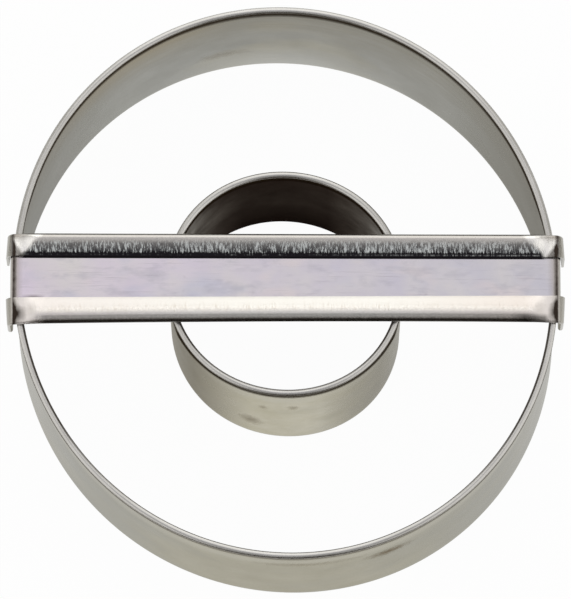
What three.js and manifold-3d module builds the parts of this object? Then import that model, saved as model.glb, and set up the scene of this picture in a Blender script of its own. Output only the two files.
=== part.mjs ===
import * as THREE from 'three';
import { mergeVertices } from 'three/addons/utils/BufferGeometryUtils.js';
import Module from 'manifold-3d';

// Double-ring pastry cutter in tinned sheet steel: two hoops of one height, one inside the other,
// and a hemmed strap over both that is the handle. Millimetres, +Z up. The origin is the centre of
// the rings on the plane of their cutting edges, and the strap runs along X.

// Sheet metal and solder
const SHEET = 0.3; // thickness of all three strips
const SOLDER_FILM = 0.05; // gap that solder fills between two pieces

// Rings, measured to the middle of the wall. Both are pulled out of round, rim and edge unequally.
const RING_HEIGHT = 25.4; // cutting edge to the crest of the rim
const OUTER_DIAMETER = 76.2; // mean of the long and the short diameter
const OUTER_RIM_OUT_OF_ROUND = 4; // long less short diameter: the strap pulls the rim in
const OUTER_RIM_LONG_AXIS = 105; // degrees from +X
const OUTER_EDGE_OUT_OF_ROUND = 3.2;
const OUTER_EDGE_LONG_AXIS = 116;
const INNER_DIAMETER = 31.7;
const INNER_OUT_OF_ROUND = 1.2; // at the rim and at the edge
const INNER_RIM_LONG_AXIS = 162;
const INNER_EDGE_LONG_AXIS = 151;
const INNER_OFF_CENTRE = -0.4; // inner ring's middle from the outer one's, along Y
const HOOP_SQUARENESS = 0.05; // how far the sides towards X and Y lie inside the oval

// Rim: the top edge of each strip is rolled outwards to a bead over the middle of the wall
const RIM_WIDTH = 1; // bead, outside to outside
const RIM_DEPTH = 0.78; // crest of the bead to its underside: it is a little flattened
const RIM_ROLL = 240; // degrees that the sheet turns in the bead
const RIM_NECK = 0.6; // height in which the wall steps in below the bead

// Lap seam: a tongue at one end of each strip lies inside the other end
const LAP_LENGTH = 6; // tongue beyond the butt
const LAP_BUTT = 0.6; // gap between the two ends of the rim
const LAP_TONGUE_TOP = 1.6; // crest of the rim down to the top of the tongue
const SEAM_BEAD = 0.9; // width of the solder along the tongue's end
const SEAM_BEAD_RISE = 0.8; // bottom of that solder above the cutting edge

// Handle strap
const STRAP_WIDTH = 12.45; // over both folds, in the middle
const STRAP_TAPER = 0.45; // how much wider the left end is than the right one
const STRAP_FLARE = 0.24; // how far the front fold bows out towards the ends
const STRAP_OFF_CENTRE = 0.2; // strap's middle from the outer ring's, along Y
const FRONT_HEM_WIDTH = 3.5; // fold to raw edge in the middle, on the side towards -Y
const BACK_HEM_WIDTH = 3.2;
const FRONT_FOLD_WIDTH = 1.3; // outside of the fold to its crest, across the strap
const BACK_FOLD_WIDTH = 0.7;
const HEM_FOLD_HEIGHT = 1.3; // strap's underside to the crest of the fold
const HEM_FOLD_LEAN = 4; // degrees that the fold turns past its crest
const HEM_PRESSED_LEAN = -4; // the same where the hem is pressed flat
const HEM_EDGE_GAP = 0.06; // raw edge above the plate
const HEM_PRESSED_GAP = 0.12; // gap inside the fold where it is pressed flat at the ends
const HEM_PRESSED_EDGE_GAP = 0.3; // raw edge above the plate there: it springs up a little
const HEM_PRESS_LENGTH = 3; // stretch before the bend in which the hem goes flat
const LIP_BEND_RADIUS = 0.6; // inside of the bend over the rim
const LIP_LENGTH = 5; // strap's underside down to the end of the lip
const LIP_CORNER_RADIUS = 1.1; // rounding of the lip's two lower corners
const LEFT_LIP_CLEARANCE = 0.05; // lip to the outside of the rim
const RIGHT_LIP_CLEARANCE = 0.1; // the right one stands off a little

// Solder fillets under the strap
const FILLET_REACH = 1.7; // middle of the wall to the fillet's toe on the strap
const FILLET_SPAN = 7.5; // length along the rim
const FILLET_FOOT = 215; // degrees round the bead where the fillet leaves its side
const FILLET_CREST = 110; // degrees round the bead where it ends under the strap
const SOLDER_HOLLOW = 1 / 3; // how far the hollow face of solder stands off its corner

// Facets
const OUTER_STEPS = 84;
const INNER_STEPS = 56;
const RIM_STEPS = 8;
const FOLD_STEPS = 9;
const FLAP_STEPS = 4;
const BEND_STEPS = 4;
const CORNER_STEPS = 4;
const PRESS_STEPS = 4;
const MIDDLE_STEPS = 8;
const FILLET_STEPS = 6;
const FILLET_CURVE_STEPS = 4;

const wasm = await Module();
wasm.setup();

const radians = THREE.MathUtils.degToRad;

// Outline of a bent sheet: its middle line, thickened to both sides
function sheetOutline(middleLine) {
  const left = [];
  const right = [];
  middleLine.forEach((point, i) => {
    const before = middleLine[Math.max(i - 1, 0)];
    const after = middleLine[Math.min(i + 1, middleLine.length - 1)];
    const into = point.clone().sub(before).normalize();
    const out = after.clone().sub(point).normalize();
    const along = into.add(out).normalize();
    const across = new THREE.Vector2(-along.y, along.x);
    left.push(point.clone().addScaledVector(across, SHEET / 2));
    right.push(point.clone().addScaledVector(across, -SHEET / 2));
  });
  return [...left, ...right.reverse()];
}

// Points on a round or oval stretch, from one angle to another in degrees
function arcPoints(centre, across, up, fromAngle, toAngle, steps) {
  const curve = new THREE.EllipseCurve(
    centre.x, centre.y, across, up, radians(fromAngle), radians(toAngle), toAngle < fromAngle,
  );
  return curve.getPoints(steps);
}

// Closed skin over a row of sections. A section is an outline and the function that places it.
function loft(sections) {
  const count = sections[0].outline.length;
  const positions = [];
  const indices = [];
  for (const { outline, place } of sections) {
    for (const point of outline) positions.push(...place(point).toArray());
  }
  for (let s = 0; s + 1 < sections.length; s += 1) {
    for (let i = 0; i < count; i += 1) {
      const a = s * count + i;
      const b = s * count + ((i + 1) % count);
      indices.push(a, b, b + count, a, b + count, a + count);
    }
  }
  const lastRow = (sections.length - 1) * count;
  const firstCap = THREE.ShapeUtils.triangulateShape(sections[0].outline, []);
  const lastCap = THREE.ShapeUtils.triangulateShape(sections.at(-1).outline, []);
  const turn = THREE.ShapeUtils.isClockWise(sections[0].outline);
  for (const [a, b, c] of firstCap) indices.push(...(turn ? [a, b, c] : [a, c, b]));
  for (const [a, b, c] of lastCap) {
    const face = turn ? [a, c, b] : [a, b, c];
    indices.push(...face.map((corner) => corner + lastRow));
  }
  const geometry = new THREE.BufferGeometry();
  geometry.setAttribute('position', new THREE.Float32BufferAttribute(positions, 3));
  geometry.setIndex(indices);
  return facingOut(geometry);
}

// Six times the volume inside a closed skin, negative if its faces point inwards
function signedVolume(geometry) {
  const position = geometry.getAttribute('position');
  const index = geometry.getIndex();
  const corner = (i) => new THREE.Vector3().fromBufferAttribute(position, index.getX(i));
  let sum = 0;
  for (let i = 0; i < index.count; i += 3) {
    sum += corner(i).dot(corner(i + 1).cross(corner(i + 2)));
  }
  return sum;
}

function facingOut(geometry) {
  if (signedVolume(geometry) >= 0) return geometry;
  const indices = Array.from(geometry.getIndex().array);
  for (let i = 0; i < indices.length; i += 3) {
    [indices[i + 1], indices[i + 2]] = [indices[i + 2], indices[i + 1]];
  }
  geometry.setIndex(indices);
  return geometry;
}

function toSolid(geometry) {
  geometry.deleteAttribute('normal');
  geometry.deleteAttribute('uv');
  const merged = mergeVertices(geometry);
  return new wasm.Manifold(new wasm.Mesh({
    numProp: 3,
    vertProperties: new Float32Array(merged.getAttribute('position').array),
    triVerts: new Uint32Array(merged.getIndex().array),
  }));
}

function toGeometry(solid) {
  const mesh = solid.getMesh();
  const geometry = new THREE.BufferGeometry();
  geometry.setAttribute('position', new THREE.Float32BufferAttribute(mesh.vertProperties, 3));
  geometry.setIndex(Array.from(mesh.triVerts));
  return geometry;
}

// Plan of a hoop that changes from the oval of its edge to the oval of its rim: the place of a
// point in direction t from the centre, set off from the wall and raised
function hoopPlan({ diameter, rim, edge, offCentre }) {
  const radius = (oval, t) => {
    const swell = (oval.outOfRound / 4) * Math.cos(2 * (t - radians(oval.longAxis)));
    return diameter / 2 + swell - HOOP_SQUARENESS * Math.cos(4 * t);
  };
  const onWall = (t, height) => {
    const r = THREE.MathUtils.lerp(radius(edge, t), radius(rim, t), height / RING_HEIGHT);
    return new THREE.Vector2(r * Math.cos(t), r * Math.sin(t) + offCentre);
  };
  const alongWall = (t, height) => {
    const tiny = 1e-4;
    const step = onWall(t + tiny, height).sub(onWall(t - tiny, height));
    return step.divideScalar(2 * tiny);
  };
  const speed = (t) => alongWall(t, RING_HEIGHT).length();
  const place = (t, offset, height) => {
    const along = alongWall(t, height).normalize();
    const outwards = new THREE.Vector2(along.y, -along.x);
    const at = onWall(t, height).addScaledVector(outwards, offset);
    return new THREE.Vector3(at.x, at.y, height);
  };
  return { place, speed };
}

const outerPlan = hoopPlan({
  diameter: OUTER_DIAMETER,
  rim: { outOfRound: OUTER_RIM_OUT_OF_ROUND, longAxis: OUTER_RIM_LONG_AXIS },
  edge: { outOfRound: OUTER_EDGE_OUT_OF_ROUND, longAxis: OUTER_EDGE_LONG_AXIS },
  offCentre: 0,
});
const innerPlan = hoopPlan({
  diameter: INNER_DIAMETER,
  rim: { outOfRound: INNER_OUT_OF_ROUND, longAxis: INNER_RIM_LONG_AXIS },
  edge: { outOfRound: INNER_OUT_OF_ROUND, longAxis: INNER_EDGE_LONG_AXIS },
  offCentre: INNER_OFF_CENTRE,
});

const RIM_CENTRE = RING_HEIGHT - RIM_DEPTH / 2;
const STRAP_UNDERSIDE = RING_HEIGHT + SOLDER_FILM;
const LEFT = Math.PI; // directions from a ring's middle
const RIGHT = 0;
const RIM_REACH = outerPlan.place(RIGHT, RIM_WIDTH / 2, RIM_CENTRE).x;

// Section of a ring: plain wall from the cutting edge up, a neck, and the rolled bead
function ringOutline() {
  const bead = new THREE.Vector2(0, RIM_CENTRE);
  const across = (RIM_WIDTH - SHEET) / 2;
  const up = (RIM_DEPTH - SHEET) / 2;
  const roll = arcPoints(bead, across, up, 180, 180 - RIM_ROLL, RIM_STEPS);
  const neckBottom = RIM_CENTRE - RIM_NECK;
  return sheetOutline([new THREE.Vector2(0, 0), new THREE.Vector2(0, neckBottom), ...roll]);
}

// A hoop with its lap seam under the strap: the strip from butt to butt, and the tongue
function ringGeometry(plan, steps) {
  const butt = LAP_BUTT / plan.speed(LEFT);
  const lap = LAP_LENGTH / plan.speed(LEFT);
  const start = LEFT + butt / 2;
  const step = (2 * Math.PI - butt) / steps;

  const outline = ringOutline();
  const strip = Array.from({ length: steps + 1 }, (_, i) => ({
    outline,
    place: (p) => plan.place(start + i * step, p.x, p.y),
  }));

  const tongueTop = RING_HEIGHT - LAP_TONGUE_TOP;
  const tongueOutline = sheetOutline([new THREE.Vector2(0, 0), new THREE.Vector2(0, tongueTop)]);
  const inset = SHEET + SOLDER_FILM;
  const tongueStations = [
    { t: start + step, shift: 0 },
    { t: start, shift: 0 },
    { t: start - butt, shift: -inset },
    { t: start - butt - lap / 2, shift: -inset },
    { t: start - butt - lap, shift: -inset },
  ];
  const tongue = tongueStations.map(({ t, shift }) => ({
    outline: tongueOutline,
    place: (p) => plan.place(t, p.x + shift, p.y),
  }));
  return toGeometry(toSolid(loft(strip)).add(toSolid(loft(tongue))));
}

// Solder run down the corner between the tongue's end and the wall that it lies on
function seamSolderGeometry(plan) {
  const tongueEnd = LEFT - (LAP_BUTT / 2 + LAP_LENGTH) / plan.speed(LEFT);
  const wallFace = -SHEET / 2 - SOLDER_FILM;
  const tongueFace = wallFace - SHEET;
  const corner = new THREE.Vector2(SOLDER_FILM, wallFace);
  const toe = new THREE.Vector2(SEAM_BEAD, wallFace);
  const top = new THREE.Vector2(SOLDER_FILM, tongueFace);
  const pull = corner.clone().lerp(new THREE.Vector2(toe.x, top.y), SOLDER_HOLLOW);
  const hollow = new THREE.QuadraticBezierCurve(toe, pull, top);
  const outline = [corner, ...hollow.getPoints(FILLET_CURVE_STEPS)];
  const sections = [SEAM_BEAD_RISE, RING_HEIGHT - LAP_TONGUE_TOP].map((height) => ({
    outline,
    place: (p) => plan.place(tongueEnd - p.x / plan.speed(tongueEnd), p.y, height),
  }));
  return loft(sections);
}

// Solder in the corner between the strap's underside and the inner side of a rim
function filletGeometry(plan, direction) {
  const bead = new THREE.Vector2(0, RIM_CENTRE);
  const across = RIM_WIDTH / 2 + SOLDER_FILM;
  const up = RIM_DEPTH / 2 + SOLDER_FILM;
  const hug = arcPoints(bead, across, up, FILLET_FOOT, FILLET_CREST, FILLET_CURVE_STEPS);
  const foot = hug[0];
  const toe = new THREE.Vector2(-FILLET_REACH, STRAP_UNDERSIDE);
  const heel = new THREE.Vector2(hug.at(-1).x, STRAP_UNDERSIDE);
  const corner = new THREE.Vector2(foot.x, toe.y);
  const pull = corner.lerp(new THREE.Vector2(toe.x, foot.y), SOLDER_HOLLOW);
  const hollow = new THREE.QuadraticBezierCurve(toe, pull, foot);
  const outline = [heel, ...hollow.getPoints(FILLET_CURVE_STEPS), ...hug.slice(1)];

  const half = FILLET_SPAN / 2 / plan.speed(direction);
  const sections = Array.from({ length: FILLET_STEPS + 1 }, (_, i) => ({
    outline,
    place: (p) => plan.place(direction + half * (2 * i / FILLET_STEPS - 1), p.x, p.y),
  }));
  return loft(sections);
}

// One hem, from under its fold to its raw edge, measured from the strap's middle. The hem is open
// where pressed is 0 and flat where it is 1.
function hemLine(outside, rawEdge, foldWidth, pressed) {
  const pressedRadius = SHEET + HEM_PRESSED_GAP / 2;
  const foldAcross = THREE.MathUtils.lerp(foldWidth, pressedRadius, pressed);
  const foldUp = THREE.MathUtils.lerp(HEM_FOLD_HEIGHT / 2, pressedRadius, pressed);
  const edgeGap = THREE.MathUtils.lerp(HEM_EDGE_GAP, HEM_PRESSED_EDGE_GAP, pressed);
  const lean = THREE.MathUtils.lerp(HEM_FOLD_LEAN, HEM_PRESSED_LEAN, pressed);
  const across = foldAcross - SHEET / 2;
  const up = foldUp - SHEET / 2;
  const centre = new THREE.Vector2(outside - foldAcross, foldUp);
  const fold = arcPoints(centre, across, up, -90, 90 + lean, FOLD_STEPS);
  const crest = fold.at(-1);
  const tip = new THREE.Vector2(rawEdge, SHEET + edgeGap + SHEET / 2);
  const reach = (crest.x - tip.x) / 2;
  const drop = reach * (up / across) * Math.tan(radians(lean));
  const control = new THREE.Vector2(crest.x - reach, crest.y - drop);
  const flap = new THREE.QuadraticBezierCurve(crest, control, tip).getPoints(FLAP_STEPS);
  return [...fold, ...flap.slice(1)];
}

// Section of the strap: a plate with both edges folded over on top, from its underside up. Share is
// the section's place along the strap, from -1 at the left rim to 1 at the right one, and narrowed is
// how far each side of it comes in.
function strapOutline(share, pressed, narrowed) {
  const half = STRAP_WIDTH / 2 - (STRAP_TAPER / 4) * share;
  const bow = STRAP_FLARE * share ** 2;
  const front = hemLine(half + bow - narrowed, half - FRONT_HEM_WIDTH, FRONT_FOLD_WIDTH, pressed);
  const back = hemLine(half - narrowed, half - BACK_HEM_WIDTH, BACK_FOLD_WIDTH, pressed);
  const mirrored = front.map((p) => new THREE.Vector2(-p.x, p.y));
  return sheetOutline([...mirrored.reverse(), ...back]);
}

// Half of the strap's run, with its underside at height 0: flat from the middle out, then bent down
// outside the outer rim
function strapStations(lipClearance) {
  const lipFace = RIM_REACH + lipClearance;
  const bendStart = lipFace - LIP_BEND_RADIUS;
  const pressStart = bendStart - HEM_PRESS_LENGTH;
  const stations = [];
  for (let i = 0; i <= MIDDLE_STEPS / 2; i += 1) {
    stations.push({ x: pressStart * (2 * i / MIDDLE_STEPS), z: 0, angle: 0, pressed: 0 });
  }
  for (let i = 1; i <= PRESS_STEPS; i += 1) {
    const pressed = THREE.MathUtils.smoothstep(i / PRESS_STEPS, 0, 1);
    const x = pressStart + HEM_PRESS_LENGTH * (i / PRESS_STEPS);
    stations.push({ x, z: 0, angle: 0, pressed });
  }
  for (let i = 1; i <= BEND_STEPS; i += 1) {
    const angle = (Math.PI / 2) * (i / BEND_STEPS);
    const x = bendStart + LIP_BEND_RADIUS * Math.sin(angle);
    const z = LIP_BEND_RADIUS * (Math.cos(angle) - 1);
    stations.push({ x, z, angle, pressed: 1 });
  }
  for (let i = 0; i <= CORNER_STEPS; i += 1) {
    const turn = (Math.PI / 2) * (i / CORNER_STEPS);
    const z = LIP_CORNER_RADIUS * (1 - Math.sin(turn)) - LIP_LENGTH;
    const narrowed = LIP_CORNER_RADIUS * (1 - Math.cos(turn));
    stations.push({ x: lipFace, z, angle: Math.PI / 2, pressed: 1, narrowed });
  }
  return stations;
}

function strapGeometry() {
  const right = strapStations(RIGHT_LIP_CLEARANCE);
  const left = strapStations(LEFT_LIP_CLEARANCE).slice(1);
  const mirrored = left.map((s) => ({ ...s, x: -s.x, angle: -s.angle })).reverse();
  const sections = [...mirrored, ...right].map(({ x, z, angle, pressed, narrowed = 0 }) => ({
    outline: strapOutline(x / RIM_REACH, pressed, narrowed),
    place: (p) => new THREE.Vector3(x + p.y * Math.sin(angle), p.x, z + p.y * Math.cos(angle)),
  }));
  return loft(sections);
}

const tinnedSheet = { color: 0xb9b7b0, roughness: 0.28, metalness: 1 };
const solderFinish = { color: 0x8f9294, roughness: 0.45, metalness: 1 };

function addPiece(group, name, geometry, finish) {
  const mesh = new THREE.Mesh(geometry, new THREE.MeshStandardMaterial(finish));
  mesh.name = name;
  group.add(mesh);
  return mesh;
}

const cutter = new THREE.Group();
addPiece(cutter, 'outer_ring', ringGeometry(outerPlan, OUTER_STEPS), tinnedSheet);
addPiece(cutter, 'inner_ring', ringGeometry(innerPlan, INNER_STEPS), tinnedSheet);
const strap = addPiece(cutter, 'handle_strap', strapGeometry(), tinnedSheet);
strap.position.set(0, STRAP_OFF_CENTRE, STRAP_UNDERSIDE);
addPiece(cutter, 'outer_seam_solder', seamSolderGeometry(outerPlan), solderFinish);
addPiece(cutter, 'inner_seam_solder', seamSolderGeometry(innerPlan), solderFinish);
addPiece(cutter, 'solder_outer_left', filletGeometry(outerPlan, LEFT), solderFinish);
addPiece(cutter, 'solder_outer_right', filletGeometry(outerPlan, RIGHT), solderFinish);
addPiece(cutter, 'solder_inner_left', filletGeometry(innerPlan, LEFT), solderFinish);
addPiece(cutter, 'solder_inner_right', filletGeometry(innerPlan, RIGHT), solderFinish);

export default cutter;
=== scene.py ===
import math

import bmesh
import bpy
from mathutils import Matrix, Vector


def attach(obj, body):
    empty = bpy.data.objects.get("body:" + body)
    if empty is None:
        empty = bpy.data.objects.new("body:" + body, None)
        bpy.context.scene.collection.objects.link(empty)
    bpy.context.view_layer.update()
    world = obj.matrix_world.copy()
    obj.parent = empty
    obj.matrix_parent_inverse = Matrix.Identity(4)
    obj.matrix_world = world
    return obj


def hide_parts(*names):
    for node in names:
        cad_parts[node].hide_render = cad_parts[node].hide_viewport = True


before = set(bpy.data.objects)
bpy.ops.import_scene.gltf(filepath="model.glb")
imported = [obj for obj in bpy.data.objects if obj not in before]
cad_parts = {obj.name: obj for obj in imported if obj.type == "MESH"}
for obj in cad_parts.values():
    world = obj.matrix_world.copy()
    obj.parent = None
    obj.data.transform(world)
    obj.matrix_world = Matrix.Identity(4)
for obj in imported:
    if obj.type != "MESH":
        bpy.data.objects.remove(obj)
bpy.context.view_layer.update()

MM = 0.001

# OUTER RING
# A strip of tinned sheet steel bent to a hoop: plain cutting edge below, top edge rolled outwards
# to a bead. Its two ends lap under the strap. Rim and edge are ovals of their own.


class Amount:
    """A number in a node tree. Arithmetic on it adds Math nodes, so a rule reads as a formula."""

    def __init__(self, tree, socket):
        self.tree = tree
        self.socket = socket

    def combine(self, operation, *others, clamp=False):
        node = self.tree.nodes.new("ShaderNodeMath")
        node.operation = operation
        node.use_clamp = clamp
        for slot, value in zip(node.inputs, (self, *others)):
            if isinstance(value, Amount):
                self.tree.links.new(value.socket, slot)
            else:
                slot.default_value = value
        return Amount(self.tree, node.outputs[0])

    def __add__(self, other):
        return self.combine("ADD", other)

    def __sub__(self, other):
        return self.combine("SUBTRACT", other)

    def __mul__(self, other):
        return self.combine("MULTIPLY", other)

    def __truediv__(self, other):
        return self.combine("DIVIDE", other)

    def __rsub__(self, other):
        return self.combine("MULTIPLY_ADD", -1.0, other)

    def __rtruediv__(self, other):
        return self.combine("POWER", -1.0) * other

    def __neg__(self):
        return 0 - self

    def __abs__(self):
        return self.combine("ABSOLUTE")

    __radd__ = __add__
    __rmul__ = __mul__

    def cos(self):
        return self.combine("COSINE")

    def sin(self):
        return self.combine("SINE")

    def share(self, start, length):
        """0 up to start, 1 from start + length on."""
        return ((self - start) / length).clamped()

    def clamped(self):
        return self.combine("ADD", 0.0, clamp=True)

    def eased(self):
        return self * self * (3 - 2 * self)


HOOP_SIZES = (
    "Diameter", "Rim Out Of Round", "Rim Long Axis", "Edge Out Of Round", "Edge Long Axis",
    "Squareness", "Off Centre", "Height",
)


def on_hoop(size, direction, offset, height):
    """Where a point lies that is set off from a hoop's wall. Edge and rim are unequal ovals."""
    up = height / size["Height"]

    def oval(part):
        turn = 2 * (direction - size[part + " Long Axis"])
        swell = size[part + " Out Of Round"] / 4
        corners = 4 * direction
        radius = size["Diameter"] / 2 + swell * turn.cos() - size["Squareness"] * corners.cos()
        slope = 4 * size["Squareness"] * corners.sin() - 2 * swell * turn.sin()
        return radius, slope

    edge_radius, edge_slope = oval("Edge")
    rim_radius, rim_slope = oval("Rim")
    radius = edge_radius + (rim_radius - edge_radius) * up
    slope = edge_slope + (rim_slope - edge_slope) * up
    length = (radius * radius + slope * slope).combine("SQRT")
    across, along = direction.cos(), direction.sin()
    x = radius * across + offset * (radius * across + slope * along) / length
    y = radius * along + offset * (radius * along - slope * across) / length + size["Off Centre"]
    return vector(x.tree, x, y, height)


def shape_tree(name, sizes):
    """An empty node tree with one named input for each size and one for the metal."""
    tree = bpy.data.node_groups.new(name, "GeometryNodeTree")
    tree.interface.new_socket("Mesh", in_out="OUTPUT", socket_type="NodeSocketGeometry")
    for size in sizes:
        tree.interface.new_socket(size, in_out="INPUT", socket_type="NodeSocketFloat")
    tree.interface.new_socket("Metal", in_out="INPUT", socket_type="NodeSocketMaterial")
    given = tree.nodes.new("NodeGroupInput")
    return tree, given, {size: Amount(tree, given.outputs[size]) for size in sizes}


def numbered_grid(tree, columns, rows):
    """A grid of vertices, with the number of each vertex's column and row."""
    grid = tree.nodes.new("GeometryNodeMeshGrid")
    for slot, value in zip(grid.inputs, (columns - 1, rows - 1, columns, rows)):
        slot.default_value = value
    position = tree.nodes.new("GeometryNodeInputPosition")
    split = tree.nodes.new("ShaderNodeSeparateXYZ")
    tree.links.new(position.outputs[0], split.inputs[0])
    column = Amount(tree, split.outputs[0]) + (columns - 1) / 2
    row = Amount(tree, split.outputs[1]) + (rows - 1) / 2
    return grid.outputs["Mesh"], column, row


def finish_tree(tree, given, mesh):
    """Ends a shape tree: smooth, real and with its metal on."""
    smooth = tree.nodes.new("GeometryNodeSetShadeSmooth")
    real = tree.nodes.new("GeometryNodeRealizeInstances")
    metal = tree.nodes.new("GeometryNodeSetMaterial")
    out = tree.nodes.new("NodeGroupOutput")
    tree.links.new(mesh, smooth.inputs["Geometry"])
    tree.links.new(smooth.outputs[0], real.inputs[0])
    tree.links.new(real.outputs[0], metal.inputs["Geometry"])
    tree.links.new(given.outputs["Metal"], metal.inputs["Material"])
    tree.links.new(metal.outputs[0], out.inputs[0])


def rolled_hoop_tree():
    """Middle surface of a ring's strip: tongue, plain wall, neck and rolled bead."""
    own_sizes = (
        "Bead Width", "Bead Depth", "Bead Roll", "Neck", "Butt", "Lap", "Lap Inset", "Tongue Top",
    )
    tree, given, size = shape_tree("rolled_hoop", HOOP_SIZES + own_sizes)
    lap_columns, around = 12, 360
    wall_rows, neck_rows, roll_rows = 12, 4, 18
    columns = lap_columns + around + 1
    rows = wall_rows + neck_rows + roll_rows + 1
    mesh, column, row = numbered_grid(tree, columns, rows)

    wall = row.share(0, wall_rows)
    neck = row.share(wall_rows, neck_rows)
    roll = math.pi - size["Bead Roll"] * row.share(wall_rows + neck_rows, roll_rows)
    neck_bottom = size["Height"] - size["Bead Depth"] / 2 - size["Neck"]
    roll_across = (size["Bead Width"] - SHEET * MM) / 2
    roll_up = (size["Bead Depth"] - SHEET * MM) / 2
    on_strip = column.share(lap_columns - 1, 1)
    wall_top = size["Tongue Top"] + (neck_bottom - size["Tongue Top"]) * on_strip
    height = wall_top * wall + size["Neck"] * neck + roll_up * roll.sin()
    offset = roll_across * (roll.cos() + 1 - neck.eased()) - size["Lap Inset"] * (1 - on_strip)

    full_turn = 2 * math.pi - size["Butt"]
    start = math.pi + size["Butt"] / 2
    lap = size["Lap"] * (1 - column.share(0, lap_columns - 1)) + size["Butt"] * (1 - on_strip)
    direction = start + full_turn * column.share(lap_columns, around) - lap

    move = tree.nodes.new("GeometryNodeSetPosition")
    tree.links.new(on_hoop(size, direction, offset, height), move.inputs["Position"])
    trim = tree.nodes.new("GeometryNodeDeleteGeometry")
    trim.domain = "FACE"
    above_tongue = row.combine("GREATER_THAN", wall_rows) * column.combine("LESS_THAN", lap_columns)
    tree.links.new(mesh, trim.inputs["Geometry"])
    tree.links.new(above_tongue.socket, trim.inputs["Selection"])
    tree.links.new(trim.outputs[0], move.inputs["Geometry"])
    finish_tree(tree, given, move.outputs[0])
    return tree


def grown(name, tree, sizes, metal, sheet=0.0):
    """The piece that a shape tree makes with these sizes, as a plain mesh at the origin."""
    piece = bpy.data.objects.new(name, bpy.data.meshes.new(name))
    bpy.context.scene.collection.objects.link(piece)
    shape = piece.modifiers.new("shape", "NODES")
    shape.node_group = tree
    slots = {s.name: s.identifier for s in tree.interface.items_tree if s.in_out == "INPUT"}
    for size, value in sizes.items():
        shape[slots[size]] = value
    shape[slots["Metal"]] = metal
    if sheet:
        thicken(piece, sheet)
    settle(piece)
    return piece


def thicken(piece, sheet):
    """Turns a middle surface into sheet metal."""
    wall = piece.modifiers.new("sheet", "SOLIDIFY")
    wall.thickness = sheet
    wall.offset = 0


def settle(piece):
    """Applies what shapes a piece, with its sheet edges left crisp."""
    bpy.context.view_layer.update()
    finished = piece.evaluated_get(bpy.context.evaluated_depsgraph_get())
    mesh = bpy.data.meshes.new_from_object(finished)
    piece.modifiers.clear()
    piece.data = mesh
    skin = bmesh.new()
    skin.from_mesh(mesh)
    bmesh.ops.recalc_face_normals(skin, faces=skin.faces)
    skin.to_mesh(mesh)
    skin.free()
    mesh.polygons.foreach_set("use_smooth", [True] * len(mesh.polygons))
    mesh.set_sharp_from_angle(angle=SHARP_EDGE)


def node(tree, kind, settings=(), **inputs):
    """A node with its settings, and with its inputs set or linked by name (spaces as _)."""
    made = tree.nodes.new(kind)
    for key, value in dict(settings).items():
        setattr(made, key, value)
    for key, value in inputs.items():
        slot = made.inputs[key.replace("_", " ")]
        if isinstance(value, Amount):
            tree.links.new(value.socket, slot)
        elif isinstance(value, bpy.types.NodeSocket):
            tree.links.new(value, slot)
        else:
            slot.default_value = value
    return made


def noisy(tree, place, scale, detail=3.0, rough=0.5):
    texture = node(
        tree, "ShaderNodeTexNoise", Vector=place, Scale=scale, Detail=detail, Roughness=rough,
    )
    return Amount(tree, texture.outputs["Fac"])


def vector(tree, x, y, z):
    made = node(tree, "ShaderNodeCombineXYZ")
    for slot, value in zip(made.inputs, (x, y, z)):
        if isinstance(value, Amount):
            tree.links.new(value.socket, slot)
        else:
            slot.default_value = value
    return made.outputs[0]


def painted(tree, under, over, amount):
    """One colour over another, where amount is 1."""
    mix = node(tree, "ShaderNodeMix", {"data_type": "RGBA"})
    tree.links.new(amount.clamped().socket, mix.inputs["Factor"])
    for slot, colour in zip((mix.inputs[6], mix.inputs[7]), (under, over)):
        if isinstance(colour, tuple):
            slot.default_value = (*colour, 1)
        else:
            tree.links.new(colour, slot)
    return mix.outputs[2]


def coated(tree, colour, coats):
    """Coat after coat on a colour. Each coat is a colour and how far it hides what is under it."""
    for over, amount in coats:
        colour = painted(tree, colour, over, amount)
    return colour


def metal_material(name, edge_tint):
    """A metal to paint on: its tree, shader, and a point's place in millimetres."""
    metal = bpy.data.materials.new(name)
    metal.use_nodes = True
    tree = metal.node_tree
    shader = tree.nodes["Principled BSDF"]
    shader.inputs["Specular IOR Level"].default_value = 0.0
    shader.inputs["Specular Tint"].default_value = (*edge_tint, 1)
    place = node(tree, "ShaderNodeTexCoord").outputs["Object"]
    in_mm = node(tree, "ShaderNodeVectorMath", {"operation": "SCALE"}, Vector=place, Scale=1 / MM)
    split = node(tree, "ShaderNodeSeparateXYZ", Vector=in_mm.outputs[0])
    x, y, z = (Amount(tree, out) for out in split.outputs)
    return metal, tree, shader, in_mm.outputs[0], x, y, z


def finish_metal(tree, shader, colour, film, roughness, height, depth):
    """Film is how far a dull coat, residue and painted shade, hides the metal; height and depth
    (mm) shape the fine relief.
    """
    tree.links.new(colour, shader.inputs["Base Color"])
    tree.links.new((1 - film).clamped().socket, shader.inputs["Metallic"])
    tree.links.new((roughness + 0.3 * film).socket, shader.inputs["Roughness"])
    bump = node(tree, "ShaderNodeBump", Strength=1.0, Distance=depth * MM)
    tree.links.new(height.socket, bump.inputs["Height"])
    tree.links.new(bump.outputs[0], shader.inputs["Normal"])


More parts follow.
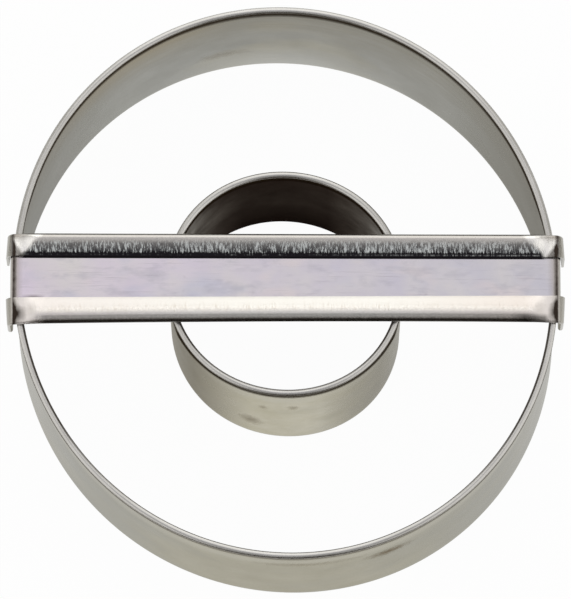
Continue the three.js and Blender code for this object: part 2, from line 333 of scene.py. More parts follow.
def ring_metal(name, middle_y, outside, flank_shading, inside_shade, groove_unshaded, stains):
    """Dull tinplate of a ring. Outside is its dark and light colour there. The next three set how
    far painted shade darkens its left and right, how black its inside is painted as shade, and how
    little painted shade lies under its bead on the outside. Places are in mm, and a stain is its
    middle, its size and its depth."""
    metal, tree, shader, place, x, y, z = metal_material(name, (0.62, 0.61, 0.57))
    groove_level, bead_underside, bead_shoulder = 23.8, 24.7, 25.16
    off = y - middle_y
    around = off.combine("ARCTAN2", x)
    reach = (x * x + off * off).combine("SQRT")
    sideways, backwards = x / reach, off / reach
    forwards = -backwards
    aside = abs(x)
    rightwards = x.share(3.0, 9.0)
    normal = node(tree, "ShaderNodeNewGeometry").outputs["Normal"]
    facing = node(tree, "ShaderNodeVectorMath", {"operation": "DOT_PRODUCT"}, Vector=normal)
    tree.links.new(vector(tree, sideways, backwards, 0.0), facing.inputs[1])
    outwards = Amount(tree, facing.outputs["Value"])
    inwards = -outwards
    inside = inwards.combine("MULTIPLY", 4.0, clamp=True)
    outer = 1 - inside

    clouds = noisy(tree, place, 0.16, 4.0, 0.6)
    drift = noisy(tree, place, 0.05, 2.0)
    streaks = noisy(tree, vector(tree, around * 2.2, 0.0, z * 0.9), 1.0, 5.0, 0.65)
    bands = noisy(tree, vector(tree, around * 2.6, 7.0, z * 0.16), 1.0, 3.0, 0.6)
    blots = noisy(tree, place, 1.3, 6.0, 0.8)
    speck = noisy(tree, place, 3.0, 2.0)

    mottled = clouds * 1.8 - 0.4
    warm = painted(tree, *outside, mottled)
    cool = painted(tree, (0.32, 0.325, 0.315), (0.43, 0.437, 0.428), mottled)
    uneven = ((drift - 0.5) * 1.7 + (bands - 0.52) * 1.4) * (0.5 + 0.5 * inside)
    coolness = inside * 0.88 + 0.65 * aside.share(8.0, 20.0) + 0.4 * inside_shade * rightwards + uneven
    # Painted shade: the inside darkens towards the top. Streaks of tone run over the whole wall.
    streaks_and_upper_shade = z.share(9.0, 13.0) * inside * (0.25 + 0.5 * streaks) + (streaks - 0.55) * 0.5
    shade = x.share(4.0, 26.0) * 0.24 + x.share(24.0, 12.0) * 0.55 + (-x).share(24.0, 12.0) * 0.22
    shade = inside * (shade + 0.14 * (1 - aside.share(8.0, 12.0)))
    golden = inside * z.share(15.0, 7.0) * (1 - abs(x + 21.0).share(5.0, 9.0)) * (0.2 + streaks)
    # Painted light: the inside is lighter towards the bottom, near its middle.
    lower_inside_light = inside * (1 - z.share(0.0, 9.0)) * (1 - aside.share(4.0, 16.0)) * 0.68
    # Painted shade: the outside's left and right are darkened and dulled.
    flank_shade = outer * abs(sideways).share(0.3, 0.5) * flank_shading * (1 - 0.4 * rightwards)
    # Painted light: the outside is lighter near its top, below the bead.
    under_bead_light = outer * z.share(18.5, 2.5) * (0.3 + 0.5 * clouds)
    coats = [
        (cool, coolness),
        ((0.24, 0.215, 0.165), streaks_and_upper_shade),
        ((0.20, 0.185, 0.15), shade),
        ((0.36, 0.29, 0.17), golden * 0.6),
        ((0.62, 0.625, 0.61), lower_inside_light),
        ((0.24, 0.21, 0.145), flank_shade),
        ((0.66, 0.64, 0.56), under_bead_light * (1 - flank_shade)),
    ]
    film = flank_shade * 0.25 + inside * aside.share(22.0, 14.0) * 0.28

    for middle, size, depth in stains:
        gap = node(tree, "ShaderNodeVectorMath", {"operation": "SUBTRACT"}, Vector=place)
        gap.inputs[1].default_value = middle
        scaled = node(tree, "ShaderNodeVectorMath", {"operation": "DIVIDE"}, Vector=gap.outputs[0])
        scaled.inputs[1].default_value = size
        far = node(tree, "ShaderNodeVectorMath", {"operation": "LENGTH"}, Vector=scaled.outputs[0])
        spread = 1.25 - Amount(tree, far.outputs["Value"]) + 2.4 * (blots - 0.5)
        stain = spread.combine("MULTIPLY", 0.9, clamp=True) * depth
        coats.append(((0.17, 0.115, 0.05), stain))
        film = film + stain * 0.5

    edge_wear = 1 - z.share(0.15, 0.5)
    coats.append(((0.62, 0.61, 0.58), edge_wear * 0.6))
    crest = z.share(bead_shoulder, 0.1)
    # Painted shade: the inner ring's inside is painted near-black as a dull coat, and the metal
    # shows through more towards its sides and higher up.
    if inside_shade:
        painted_inside_shade = inside * (1 - crest) * inside_shade
        coats.append(((0.045, 0.028, 0.021), painted_inside_shade))
        thin = 0.05 + 0.5 * z.share(2.0, 9.0) * (clouds - 0.2)
        thin = thin + (1.15 + 0.35 * x.share(4.0, 8.0)) * aside.share(6.0, 9.0) * clouds
        film = film + painted_inside_shade * (1 - thin)

    # Painted shade: a dark line under the bead, taller towards the strap and weaker on the outside.
    off_strap = abs(backwards)
    lower = 1.2 * inside_shade * outer
    groove_shade = z - groove_level - lower + (1.4 + lower) / off_strap.combine("MAXIMUM", 0.35)
    groove_shade = groove_shade.share(0.0, 1.1) * (1 - crest)
    outer_groove_shade = (1 - groove_unshaded) * off_strap.share(0.15, 0.25)
    groove_shade = groove_shade * (1 - outer * (1 - outer_groove_shade)) * (0.9 + 0.5 * (streaks - 0.5))
    polished = painted(tree, (0.54, 0.53, 0.505), (0.66, 0.65, 0.63), clouds * 2.0 - 0.5)
    # Painted shade: a dark line on the inner side of the bead, along its front half.
    in_front = forwards.share(0.0, 0.1) * (1 - forwards.share(0.55, 0.25) * (1 - 0.55 * inside_shade))
    bead_inner_shade = crest * inwards.share(0.22, 0.2) * in_front
    bead_inner_shade = bead_inner_shade * (0.75 + 0.5 * streaks).combine("MINIMUM", 1.0)
    # Painted shade: a dark line on the bead's outer side, towards the left and right.
    bead_edge_shade = z.share(bead_underside, 0.1) * outwards.share(0.8, 0.12)
    bead_edge_shade = bead_edge_shade * abs(sideways).share(0.5, 0.3)
    coats += [
        ((0.055, 0.037, 0.02), groove_shade),
        (polished, crest),
        ((0.06, 0.052, 0.043), bead_inner_shade),
        ((0.07, 0.06, 0.05), bead_edge_shade * 0.7),
    ]
    film = film + groove_shade * 0.95 + bead_inner_shade * 0.6 + bead_edge_shade * 0.3
    roughness = 0.24 + 0.02 * crest + 0.12 * (clouds - 0.5) + 0.06 * (speck - 0.5)
    relief = noisy(tree, place, 0.09, 2.0) + 0.03 * speck
    colour = coated(tree, warm, coats)
    finish_metal(tree, shader, colour, film.combine("MINIMUM", 1.0), roughness, relief, 0.12)
    return metal


SHEET = 0.3
SHARP_EDGE = math.radians(35)
RING_HEIGHT = 25.4
BEAD_WIDTH = 1.0
BEAD_DEPTH = 0.78
SOLDER_FILM = 0.05
TONGUE_TOP = RING_HEIGHT - 1.6
LAP = 6.0
BUTT_GAP = 0.6
hoop_common = {
    "Squareness": 0.05 * MM,
    "Height": RING_HEIGHT * MM,
    "Bead Width": BEAD_WIDTH * MM,
    "Bead Depth": BEAD_DEPTH * MM,
    "Bead Roll": math.radians(240),
    "Neck": 0.6 * MM,
    "Tongue Top": TONGUE_TOP * MM,
    "Lap Inset": (SHEET + SOLDER_FILM) * MM,
}
outer_radius_at_seam = 37.18
outer_hoop = hoop_common | {
    "Diameter": 76.2 * MM,
    "Rim Out Of Round": 4.0 * MM,
    "Rim Long Axis": math.radians(105),
    "Edge Out Of Round": 3.2 * MM,
    "Edge Long Axis": math.radians(116),
    "Off Centre": 0.0,
    "Butt": BUTT_GAP / outer_radius_at_seam,
    "Lap": LAP / outer_radius_at_seam,
}
rolled_hoop = rolled_hoop_tree()
outer_stains = [
    ((14.3, -36.4, 17.0), (3.4, 2.6, 1.6), 0.8),
    ((3.0, -38.9, 19.6), (8.0, 3.0, 1.0), 0.3),
    ((-9.0, 37.6, 7.2), (4.0, 2.5, 1.5), 0.25),
]
outer_tones = ((0.42, 0.395, 0.30), (0.56, 0.535, 0.44))
outer_tin = ring_metal(
    "outer_tin", 0.0, outer_tones, flank_shading=0.0, inside_shade=0.0, groove_unshaded=0.3, stains=outer_stains,
)
outer_ring = grown("outer_hoop", rolled_hoop, outer_hoop, outer_tin, SHEET * MM)
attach(outer_ring, "root")
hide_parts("outer_ring")

# INNER RING
# The same strip work in the same tinned sheet, smaller and of the same height. It stands a little
# forward of the outer ring's middle, and its inside is painted near-black as shade.
INNER_OFF_CENTRE = -0.4
inner_radius_at_seam = 16.1
inner_hoop = hoop_common | {
    "Diameter": 31.7 * MM,
    "Rim Out Of Round": 1.2 * MM,
    "Rim Long Axis": math.radians(162),
    "Edge Out Of Round": 1.2 * MM,
    "Edge Long Axis": math.radians(151),
    "Off Centre": INNER_OFF_CENTRE * MM,
    "Butt": BUTT_GAP / inner_radius_at_seam,
    "Lap": LAP / inner_radius_at_seam,
}
inner_stains = [
    ((-4.8, -15.3, 6.8), (1.6, 2.0, 2.2), 0.5),
    ((-3.1, -15.8, 16.0), (0.7, 2.0, 1.1), 0.35),
    ((1.1, -16.1, 17.0), (0.8, 2.0, 1.2), 0.35),
]
inner_tones = ((0.56, 0.525, 0.39), (0.74, 0.71, 0.61))
inner_tin = ring_metal(
    "inner_tin", INNER_OFF_CENTRE, inner_tones,
    flank_shading=0.9, inside_shade=1.0, groove_unshaded=0.0, stains=inner_stains,
)
inner_ring = grown("inner_hoop", rolled_hoop, inner_hoop, inner_tin, SHEET * MM)
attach(inner_ring, "root")
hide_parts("inner_ring")

# HANDLE STRAP
# One strip of brighter tinned sheet laid over both rings. Its long edges are folded back on top as
# open hems, pressed flat near the ends, and both ends are bent down outside the outer rim.
STRAP_WIDTH = 12.45
STRAP_TAPER = 0.45
STRAP_FLARE = 0.24
STRAP_OFF_CENTRE = 0.2
FRONT_HEM = 3.5
BACK_HEM = 3.2
FRONT_FOLD = 1.3
BACK_FOLD = 0.7
FOLD_HEIGHT = 1.3
FOLD_LEAN = 4
PRESSED_LEAN = -4
EDGE_GAP = 0.06
PRESSED_GAP = 0.12
PRESSED_EDGE_GAP = 0.3
PRESS_LENGTH = 3.0
BEND_RADIUS = 0.6
LIP_LENGTH = 5.0
LIP_CORNER = 1.1
STRAP_UNDERSIDE = RING_HEIGHT + SOLDER_FILM
RIM_REACH = 37.69
LEFT_CLEARANCE = 0.05
RIGHT_CLEARANCE = 0.1
FOLD_STEPS = 24
FLAP_STEPS = 14
PLATE_STEPS = 12
RUN_STEPS = 40
BEND_STEPS = 12
LIP_STEPS = 6


def blend(a, b, share):
    return a + (b - a) * share


def hem_line(outside, raw_edge, fold, pressed):
    """Middle line of one hem, from under the fold to the raw edge, as points across and up."""
    pressed_radius = SHEET + PRESSED_GAP / 2
    fold_across = blend(fold, pressed_radius, pressed)
    fold_up = blend(FOLD_HEIGHT / 2, pressed_radius, pressed)
    gap = blend(EDGE_GAP, PRESSED_EDGE_GAP, pressed)
    lean = blend(FOLD_LEAN, PRESSED_LEAN, pressed)
    across, up = fold_across - SHEET / 2, fold_up - SHEET / 2
    points = []
    for i in range(FOLD_STEPS + 1):
        angle = math.radians(blend(-90, 90 + lean, i / FOLD_STEPS))
        x = outside - fold_across + across * math.cos(angle)
        points.append((x, fold_up + up * math.sin(angle)))
    crest, tip = points[-1], (raw_edge, SHEET + gap + SHEET / 2)
    reach = (crest[0] - tip[0]) / 2
    drop = reach * up / across * math.tan(math.radians(lean))
    pull = (crest[0] - reach, crest[1] - drop)
    for i in range(1, FLAP_STEPS + 1):
        s = i / FLAP_STEPS
        points.append(tuple(
            (1 - s) ** 2 * a + 2 * s * (1 - s) * b + s * s * c for a, b, c in zip(crest, pull, tip)
        ))
    return points


def strap_line(share, pressed, narrowed):
    """Middle line of the whole section, from the front raw edge to the back one. Share is the place
    along the strap, from -1 at the left rim to 1 at the right one."""
    half = STRAP_WIDTH / 2 - STRAP_TAPER / 4 * share
    bow = STRAP_FLARE * share ** 2
    front = hem_line(half + bow - narrowed, half - FRONT_HEM, FRONT_FOLD, pressed)
    back = hem_line(half - narrowed, half - BACK_HEM, BACK_FOLD, pressed)
    front = [(-x, z) for x, z in reversed(front)]
    plate = [
        (blend(front[-1][0], back[0][0], i / PLATE_STEPS), SHEET / 2) for i in range(1, PLATE_STEPS)
    ]
    return front + plate + back


def strap_stations(clearance):
    """Half of the strap's run: distance out, height, tilt, how far the hems are pressed, and how
    far the sides come in at the lip's rounded corners."""
    lip = RIM_REACH + clearance
    bend = lip - BEND_RADIUS
    press = bend - PRESS_LENGTH
    run = [(press * i / RUN_STEPS, 0.0, 0.0, 0.0, 0.0) for i in range(RUN_STEPS + 1)]
    for i in range(1, BEND_STEPS + 1):
        s = i / BEND_STEPS
        run.append((press + PRESS_LENGTH * s, 0.0, 0.0, s * s * (3 - 2 * s), 0.0))
    for i in range(1, BEND_STEPS + 1):
        tilt = math.pi / 2 * i / BEND_STEPS
        x = bend + BEND_RADIUS * math.sin(tilt)
        run.append((x, BEND_RADIUS * (math.cos(tilt) - 1), tilt, 1.0, 0.0))
    for i in range(1, LIP_STEPS + 1):
        z = blend(-BEND_RADIUS, LIP_CORNER - LIP_LENGTH, i / LIP_STEPS)
        run.append((lip, z, math.pi / 2, 1.0, 0.0))
    for i in range(1, BEND_STEPS + 1):
        turn = math.pi / 2 * i / BEND_STEPS
        z = LIP_CORNER * (1 - math.sin(turn)) - LIP_LENGTH
        run.append((lip, z, math.pi / 2, 1.0, LIP_CORNER * (1 - math.cos(turn))))
    return run


def strap_mesh():
    left = [(-x, z, -tilt, p, n) for x, z, tilt, p, n in strap_stations(LEFT_CLEARANCE)[1:]]
    run = left[::-1] + strap_stations(RIGHT_CLEARANCE)
    verts = []
    for x, z, tilt, pressed, narrowed in run:
        for across, up in strap_line(x / RIM_REACH, pressed, narrowed):
            verts.append((
                (x + up * math.sin(tilt)) * MM,
                (across + STRAP_OFF_CENTRE) * MM,
                (STRAP_UNDERSIDE + z + up * math.cos(tilt)) * MM,
            ))
    count = len(verts) // len(run)
    faces = []
    for s in range(len(run) - 1):
        for i in range(count - 1):
            a = s * count + i
            faces.append((a, a + count, a + count + 1, a + 1))
    mesh = bpy.data.meshes.new("hemmed_strap")
    mesh.from_pydata(verts, [], faces)
    return mesh


def strap_metal():
    """Brighter tinplate: lavender plate, cream front hem, dark scuffs across the back hem deepened
    by painted shade towards its raw edge, and painted shade and highlights near the ends. Places
    are in
    mm: to_end from the strap's middle, from_fold from the nearer fold's outside, onto_back from the
    back hem's raw edge."""
    metal, tree, shader, place, x, y, z = metal_material("strap_tin", (1.0, 1.0, 1.0))
    bend_at, lip_at = 37.54, 37.7
    across = y - STRAP_OFF_CENTRE
    half = STRAP_WIDTH / 2 - x * (STRAP_TAPER / 4 / RIM_REACH)
    bow = x * x * (STRAP_FLARE / RIM_REACH ** 2)
    to_end = abs(x)
    on_right = x.share(0.0, 1.0)
    hem = z.share(STRAP_UNDERSIDE + SHEET + 0.02, 0.06)
    on_top = z.share(STRAP_UNDERSIDE + 0.1, 0.1)
    behind = across.share(-0.05, 0.1)
    back_hem = hem * behind
    front_hem = hem - back_hem
    onto_back = across - (half - BACK_HEM)
    from_fold = (half - across).combine("MINIMUM", half + bow + across)

    clouds = noisy(tree, place, 0.12, 3.0, 0.6)
    scratch = noisy(tree, vector(tree, x * 0.12, y * 5.0, z), 1.0, 4.0, 0.7)
    streak = noisy(tree, vector(tree, x * 5.2 + 0.3 * y, y * 1.1, z * 0.2), 1.0, 4.0, 0.7)
    tufts = noisy(tree, vector(tree, x * 0.9, y * 0.3, 4.0), 1.0, 3.0, 0.6)
    patches = noisy(tree, vector(tree, x * 0.5, y, 9.0), 0.16, 3.0, 0.55)
    bruises = noisy(tree, vector(tree, x * 0.2, y * 0.45, 3.0), 1.0, 4.0, 0.6)
    blotch = 1.6 * (noisy(tree, place, 0.9, 3.0, 0.6) - 0.5)

    lavender = painted(tree, (0.745, 0.675, 0.76), (0.61, 0.60, 0.67), x.share(-30.0, 60.0))
    coats = [
        ((0.74, 0.71, 0.70), clouds * 2.4 - 0.8),
        ((0.57, 0.58, 0.68), patches * 5.0 - 2.5),
        ((0.79, 0.70, 0.69), 1.9 - patches * 5.0),
        ((0.50, 0.49, 0.54), bruises * 3.0 - 1.55),
        ((0.40, 0.38, 0.41), scratch * 3.6 - 2.1),
    ]

    # Painted highlight along the front hem's crest.
    crest_highlight = 1 - abs(from_fold - 1.72).share(0.12, 0.4)
    flap = coated(tree, (0.70, 0.66, 0.635), [
        ((0.745, 0.73, 0.695), x.share(-36.0, 30.0) + 0.6 * (clouds - 0.5)),
        ((0.68, 0.62, 0.58), x.share(14.0, 18.0) * 0.8),
        ((0.90, 0.865, 0.82), crest_highlight * 0.6),
    ])
    marks = front_hem * (streak * 2.0 - 0.9) * (tufts * 4.0 - 1.4)
    marks = marks * (1 - abs(from_fold - 2.0).share(0.1, 0.9))
    coats += [
        (flap, front_hem),
        ((0.52, 0.44, 0.35), marks),
        ((0.605, 0.58, 0.55), back_hem),
    ]

    # Painted highlight: the back hem turns near-white towards its ends.
    end_highlight = to_end + onto_back + 0.8 * on_right + 1.5 * (tufts - 0.5)
    end_highlight = end_highlight.share(36.2, 0.8)
    # Painted shade: the back hem darkens next to its fold towards the ends.
    end_fold_shade = back_hem * onto_back.share(2.1, 0.7) * to_end.share(34.8, 2.3)
    # Dark scuffs across the back hem, with painted shade that grows stronger towards its raw edge.
    scuffs_and_shade = back_hem * (1 - onto_back.share(1.7, 0.5)) * (1 - end_highlight)
    darker_run = 1 - abs(x + 19.7).share(3.5, 3.0)
    scuff_and_shade_mix = 0.76 + (streak - 0.5) * 8.5 + (tufts - 0.5) * 2.0 + 0.3 * darker_run
    scuff_and_shade_colour = painted(tree, (0.92, 0.97, 0.97), (0.04, 0.043, 0.052), scuff_and_shade_mix)
    strength = 0.98 - 0.45 * onto_back.share(0.5, 1.4)
    frayed = onto_back - 1.2 * (streak - 0.5)
    # Painted shadow: a black line on the plate along the back hem's raw edge, thinned along the
    # burr.
    crevice_shadow = on_top * behind * onto_back.share(-0.24, 0.05)
    crevice_shadow = crevice_shadow * (1 - frayed.share(0.5, 0.2)) * (1 - end_highlight)
    burr = back_hem * (1 - abs(onto_back - 0.2).share(0.05, 0.08))
    burr = (burr * (tufts * 3.0 - 1.5 + 0.5 * x.share(0.0, 20.0))).clamped()
    coats += [
        ((0.97, 0.955, 0.92), back_hem * end_highlight),
        ((0.24, 0.20, 0.17), end_fold_shade * 0.75),
        (scuff_and_shade_colour, scuffs_and_shade * strength),
        ((0.018, 0.016, 0.02), crevice_shadow * (1 - 0.7 * burr)),
    ]

    # Painted shade: dark lines along the outer low sides of the folds.
    fold_side_shade = (1 - from_fold.share(0.3, 0.14)) * (1 - to_end.share(35.5, 2.0)) * 0.3
    low_fold_shade = 0.2 * (1 - from_fold.share(0.42, 0.26)) + 0.3 * (1 - from_fold.share(0.92, 0.14))
    fold_side_shade = fold_side_shade + front_hem * low_fold_shade * (1 - to_end.share(33.0, 2.5))
    # Painted light: the front hem is painted lighter towards its pressed ends, and made rougher
    # there.
    pressed = front_hem * to_end.share(33.0, 2.8)
    # Painted shade: a dark line along the front fold near the right end.
    right_fold_shade = front_hem * (1 - from_fold.share(0.6, 0.6))
    right_fold_shade = right_fold_shade * x.share(31.0, 2.0) * (1 - to_end.share(35.8, 1.0))
    # Painted shade: the plate and front hem go beige towards the bends.
    bent = to_end.share(36.7, 0.6) * (1 - back_hem)
    # Painted shade: the plate darkens towards its ends.
    plate_end_shade = to_end.share(36.2, 1.0) * (1 - hem)
    coats += [
        ((0.035, 0.03, 0.026), fold_side_shade),
        ((0.95, 0.90, 0.87), pressed * 0.8),
        ((0.05, 0.045, 0.04), right_fold_shade * 0.75),
        ((0.60, 0.57, 0.52), bent * 0.7),
        ((0.42, 0.38, 0.35), plate_end_shade * 0.6),
        ((0.40, 0.385, 0.345), to_end.share(lip_at, 0.25)),
    ]

    # Painted shade: a dark line along each bend and dark patches on the hems' ends, with a painted
    # shadow on the plate by the front raw edge at the left.
    past_bend = to_end - bend_at - 0.16 * back_hem
    bend_line = 0.9 - past_bend.share(0.07, 0.22) - (-past_bend).share(0.05, 0.5) + 0.4 * blotch
    on_back = (to_end - 0.75 * onto_back).share(35.8, 0.6) * 0.75
    on_back = on_back + 0.6 * blotch * to_end.share(36.7, 0.3)
    out = (to_end - 37.25) / (1.4 - 0.45 * on_right)
    fro = (from_fold - 1.4) / 1.35
    on_front = 1.2 - (out * out + fro * fro).combine("SQRT") + 0.35 * blotch
    on_hems = (on_front + (on_back - on_front) * behind) * (1 - to_end.share(37.5, 0.15))
    front_edge_shadow = (1 - abs(x + 34.8).share(0.2, 1.5)) * on_top * (1 - hem) * (1 - behind)
    front_edge_shadow = front_edge_shadow * (1 - abs(half + across - FRONT_HEM).share(0.1, 0.5)) * 0.7
    bend_and_hem_end_shade = (bend_line.clamped() + on_hems * hem + front_edge_shadow).clamped() * z.share(24.6, 0.4)
    coats.append(((0.045, 0.034, 0.027), bend_and_hem_end_shade))

    colour = coated(tree, lavender, coats)
    film = crevice_shadow * (0.8 - 0.6 * burr) + bend_and_hem_end_shade * 0.6
    roughness = 0.18 + 0.1 * (clouds - 0.5) + 0.06 * (scratch - 0.5) + 0.25 * pressed
    relief = noisy(tree, place, 0.06, 2.0) * (1 - hem) + hem * streak * 0.3
    finish_metal(tree, shader, colour, film.combine("MINIMUM", 1.0), roughness, relief, 0.12)
    return metal


strap_tin = strap_metal()
strap = bpy.data.objects.new("hemmed_strap", strap_mesh())
bpy.context.scene.collection.objects.link(strap)
strap.data.materials.append(strap_tin)
thicken(strap, SHEET * MM)
settle(strap)
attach(strap, "root")
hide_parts("handle_strap")

# SEAM SOLDER
# A run of soft solder on each ring, inside, down the corner between the tongue's end and the wall:
# hollow-faced, a little lumpy, and drawn out thin at both ends.
SEAM_BEAD = 0.9
SEAM_FOOT = 0.8
WELD = 0.0005
hoops = (
    ("outer", outer_hoop, outer_radius_at_seam),
    ("inner", inner_hoop, inner_radius_at_seam),
)


def closed_run(tree, given, mesh, place):
    """Lays a grid round a run of solder and welds it to one closed skin."""
    move = tree.nodes.new("GeometryNodeSetPosition")
    tree.links.new(mesh, move.inputs["Geometry"])
    tree.links.new(place, move.inputs["Position"])
    weld = node(tree, "GeometryNodeMergeByDistance", Distance=WELD * MM)
    tree.links.new(move.outputs[0], weld.inputs["Geometry"])
    finish_tree(tree, given, weld.outputs[0])


def drawn_out(row, rows, ends):
    """How full a run of solder is: 1 in the middle, thin at both ends."""
    return row.share(0, ends).eased() * (1 - row.share(rows - 1 - ends, ends).eased())


def seam_solder_tree():
    own_sizes = ("Tongue End", "Mean Radius", "Lumps")
    tree, given, size = shape_tree("seam_solder", HOOP_SIZES + own_sizes)
    face, rows = 8, 90
    mesh, column, row = numbered_grid(tree, face + 3, rows)
    s = column.share(1, face)
    lumps = noisy(tree, vector(tree, row * 0.16, size["Lumps"], 0.0), 1.0, 2.0)
    full = drawn_out(row, rows, 8) * (0.72 + 0.4 * lumps).combine("MINIMUM", 1.0)
    full = full * column.share(0, 1) * (1 - column.share(face + 1, 1))
    hollow = 2 / 3 * s * (1 - s)
    along = SOLDER_FILM * MM + (SEAM_BEAD - SOLDER_FILM) * MM * full * ((1 - s) * (1 - s) + hollow)
    inset = -(SHEET / 2 + SOLDER_FILM) * MM - SHEET * MM * full * (s * s + hollow)
    height = SEAM_FOOT * MM + (TONGUE_TOP - SEAM_FOOT) * MM / (rows - 1) * row
    direction = size["Tongue End"] - along / size["Mean Radius"]
    closed_run(tree, given, mesh, on_hoop(size, direction, inset, height))
    return tree


def solder_metal():
    """Dull grey solder with brown flux left on it."""
    metal, tree, shader, place, *_ = metal_material("soft_solder", (0.7, 0.7, 0.7))
    clouds = noisy(tree, place, 0.9, 4.0, 0.6)
    grain = noisy(tree, place, 5.0, 3.0)
    colour = painted(tree, (0.36, 0.37, 0.38), (0.60, 0.61, 0.62), clouds * 2.0 - 0.5)
    flux = clouds * 3.0 - 1.75
    colour = painted(tree, colour, (0.16, 0.11, 0.05), flux)
    film = flux.combine("MULTIPLY", 0.5, clamp=True)
    roughness = 0.36 + 0.25 * (clouds - 0.5)
    finish_metal(tree, shader, colour, film, roughness, clouds + 0.2 * grain, 0.05)
    return metal


soft_solder = solder_metal()
seam_solder = seam_solder_tree()
for ring, hoop, radius in hoops:
    run = {name: hoop[name] for name in HOOP_SIZES} | {
        "Tongue End": math.pi - (BUTT_GAP / 2 + LAP) / radius,
        "Mean Radius": radius * MM,
        "Lumps": radius,
    }
    piece = grown(ring + "_seam_run", seam_solder, run, soft_solder)
    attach(piece, "root")
    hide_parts(ring + "_seam_solder")

# STRAP SOLDER
# Four fillets of the same solder under the strap, in the corner between its underside and the inner
# side of each rim. They hug the bead and thin out along it.
FILLET_REACH = 1.7
FILLET_SPAN = 7.5
FILLET_FOOT = math.radians(215)
FILLET_CREST = math.radians(110)


def fillet_tree():
    tree, given, size = shape_tree("strap_solder", HOOP_SIZES + ("Middle", "Half Turn", "Lumps"))
    bead_middle = RING_HEIGHT - BEAD_DEPTH / 2
    across, up = BEAD_WIDTH / 2 + SOLDER_FILM, BEAD_DEPTH / 2 + SOLDER_FILM
    foot = (across * math.cos(FILLET_FOOT), bead_middle + up * math.sin(FILLET_FOOT))
    toe = (-FILLET_REACH, STRAP_UNDERSIDE)
    heel = (across * math.cos(FILLET_CREST), STRAP_UNDERSIDE)
    pull = (blend(foot[0], toe[0], 1 / 3), blend(toe[1], foot[1], 1 / 3))

    face, hug, rows = 8, 8, 48
    mesh, column, row = numbered_grid(tree, face + hug + 3, rows)
    s = column.share(0, face)
    angle = FILLET_FOOT + (FILLET_CREST - FILLET_FOOT) * column.share(face, hug)
    lumps = noisy(tree, vector(tree, row * 0.2, size["Lumps"], 0.0), 1.0, 2.0)
    full = (drawn_out(row, rows, 9) * (0.8 + 0.3 * lumps)).combine("MINIMUM", 1.0)

    def on_section(i, bead_part):
        bezier = (1 - s) * (1 - s) * toe[i] + 2 * s * (1 - s) * pull[i] + s * s * foot[i]
        line = bezier + (bead_part - bezier) * column.combine("GREATER_THAN", face)
        line = line + (heel[i] - line) * column.share(face + hug, 1)
        line = line + (toe[i] - line) * column.share(face + hug + 1, 1)
        return (heel[i] + (line - heel[i]) * full) * MM

    offset = on_section(0, across * angle.cos())
    height = on_section(1, bead_middle + up * angle.sin())
    direction = size["Middle"] + size["Half Turn"] * (row * (2 / (rows - 1)) - 1)
    closed_run(tree, given, mesh, on_hoop(size, direction, offset, height))
    return tree


strap_solder = fillet_tree()
for ring, hoop, radius in hoops:
    for side, middle in (("left", math.pi), ("right", 0.0)):
        run = {name: hoop[name] for name in HOOP_SIZES} | {
            "Middle": middle,
            "Half Turn": FILLET_SPAN / 2 / radius,
            "Lumps": radius + middle,
        }
        piece = grown(f"fillet_{ring}_{side}", strap_solder, run, soft_solder)
        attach(piece, "root")
        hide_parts(f"solder_{ring}_{side}")

# FLOOR
# A pale matt worktop. The camera and the metal see it almost fully white, and it keeps a faint
# shadow.
FLOOR_HALF = 3
FLOOR_GLOW = 0.97
floor_mesh = bpy.data.meshes.new("floor")
corners = [(-1, -1), (1, -1), (1, 1), (-1, 1)]
corners = [(FLOOR_HALF * x, FLOOR_HALF * y, 0) for x, y in corners]
floor_mesh.from_pydata(corners, [], [(0, 1, 2, 3)])
floor = bpy.data.objects.new("floor", floor_mesh)
bpy.context.scene.collection.objects.link(floor)
worktop = bpy.data.materials.new("worktop")
worktop.use_nodes = True
tree = worktop.node_tree
tree.nodes.remove(tree.nodes["Principled BSDF"])
ray = node(tree, "ShaderNodeLightPath")
seen = Amount(tree, ray.outputs["Is Camera Ray"]) + Amount(tree, ray.outputs["Is Glossy Ray"])
seen = seen + Amount(tree, ray.outputs["Is Transmission Ray"])
white = node(tree, "ShaderNodeEmission", Color=(1, 1, 1, 1), Strength=1.0)
matt = node(tree, "ShaderNodeBsdfDiffuse", Color=(0.93, 0.93, 0.93, 1))
mixed = node(tree, "ShaderNodeMixShader", Fac=seen * FLOOR_GLOW)
tree.links.new(matt.outputs[0], mixed.inputs[1])
tree.links.new(white.outputs[0], mixed.inputs[2])
tree.links.new(mixed.outputs[0], tree.nodes["Material Output"].inputs["Surface"])
floor.data.materials.append(worktop)

# LIGHT
# A large soft box behind, before a bright wall with dimmer corners. Overhead is grey, the front is
# dark, and a pale panel stands on each side.
BOX_TILT = math.radians(48)
BOX_DISTANCE = 0.9
BOX_WIDTH = 2.0
BOX_HEIGHT = 0.66
BOX_RADIANCE = 0.25
lamp = bpy.data.lights.new("back_light", "AREA")
lamp.shape = "RECTANGLE"
lamp.size = BOX_WIDTH
lamp.size_y = BOX_HEIGHT
lamp.energy = BOX_RADIANCE * math.pi * BOX_WIDTH * BOX_HEIGHT
lamp.color = (1.0, 0.985, 0.95)
soft_box = bpy.data.objects.new("back_light", lamp)
towards_box = Vector((0, math.tan(BOX_TILT), 1)).normalized()
soft_box.location = towards_box * BOX_DISTANCE
soft_box.rotation_euler = towards_box.to_track_quat("Z", "Y").to_euler()
bpy.context.scene.collection.objects.link(soft_box)

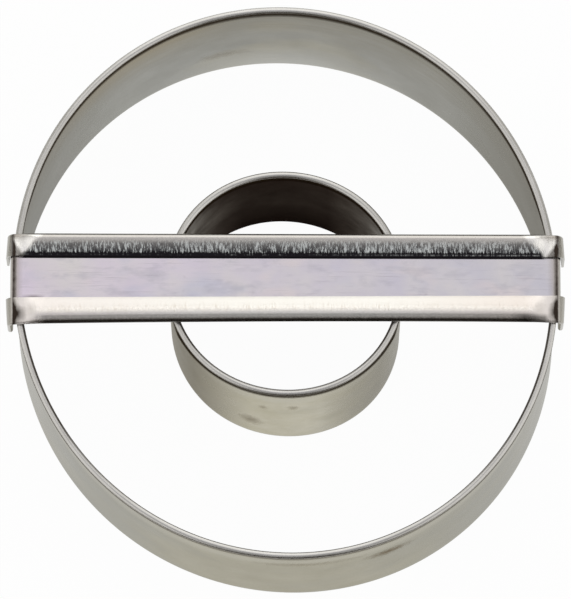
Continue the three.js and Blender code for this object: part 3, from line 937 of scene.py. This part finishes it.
world = bpy.data.worlds.new("room")
world.use_nodes = True
sky = world.node_tree
direction = node(sky, "ShaderNodeTexCoord").outputs["Generated"]
split = node(sky, "ShaderNodeSeparateXYZ", Vector=direction)
side, back, up = (Amount(sky, out) for out in split.outputs)
tilt = back.combine("ARCTAN2", up) / math.pi + 0.5
ramp = node(sky, "ShaderNodeValToRGB", Fac=tilt)
steps = [
    (-90, (0.03, 0.025, 0.02)),
    (-45, (0.055, 0.045, 0.035)),
    (-32, (0.18, 0.17, 0.155)),
    (-22, (0.36, 0.36, 0.37)),
    (-4, (0.38, 0.38, 0.39)),
    (3, (0.50, 0.50, 0.51)),
    (9, (0.66, 0.65, 0.67)),
    (14, (0.79, 0.77, 0.81)),
    (20, (1.12, 1.11, 1.09)),
    (76, (1.12, 1.11, 1.08)),
    (86, (0.5, 0.49, 0.48)),
    (90, (0.03, 0.028, 0.025)),
]
while len(ramp.color_ramp.elements) < len(steps):
    ramp.color_ramp.elements.new(0.5)
for element, (angle, colour) in zip(ramp.color_ramp.elements, steps):
    element.position = angle / 180 + 0.5
    element.color = (*colour, 1)
aside = abs(side)
far_corners = (aside / back).share(0.42, 0.25) * aside.share(0.18, 0.12) * back.share(0.2, 0.15)
room = painted(sky, ramp.outputs[0], (0.38, 0.37, 0.35), far_corners)
side_panels = aside.share(0.2, 0.12) * (1 - back.share(0.12, 0.15))
side_panels = side_panels * back.share(-0.85, 0.3) * up.share(0.05, 0.1)
room = painted(sky, room, (1.0, 0.985, 0.965), side_panels)
sky.links.new(room, sky.nodes["Background"].inputs["Color"])
bpy.context.scene.world = world

# CAMERA
# Above and a little in front, far off with a long lens.
CAMERA_TILT = math.radians(14.295)
CAMERA_DISTANCE = 1.0871
SENSOR_WIDTH = 36
FRAME_LONG_SIDE = 599
FOCAL_PIXELS = 7861.5
AIM_BELOW = 2.643 * MM
AIM_RIGHT = 0.034 * MM
lens = bpy.data.cameras.new("camera")
lens.sensor_width = SENSOR_WIDTH
lens.lens = SENSOR_WIDTH * FOCAL_PIXELS / FRAME_LONG_SIDE
camera = bpy.data.objects.new("camera", lens)
bpy.context.scene.collection.objects.link(camera)
towards_camera = Vector((0, -math.sin(CAMERA_TILT), math.cos(CAMERA_TILT)))
image_up = Vector((0, math.cos(CAMERA_TILT), math.sin(CAMERA_TILT)))
rims = Vector((0, 0, RING_HEIGHT * MM))
camera.location = rims + towards_camera * CAMERA_DISTANCE
aim = rims - image_up * AIM_BELOW + Vector((AIM_RIGHT, 0, 0))
camera.rotation_euler = (camera.location - aim).to_track_quat("Z", "Y").to_euler()
bpy.context.scene.camera = camera
bpy.context.scene.view_settings.view_transform = "Standard"
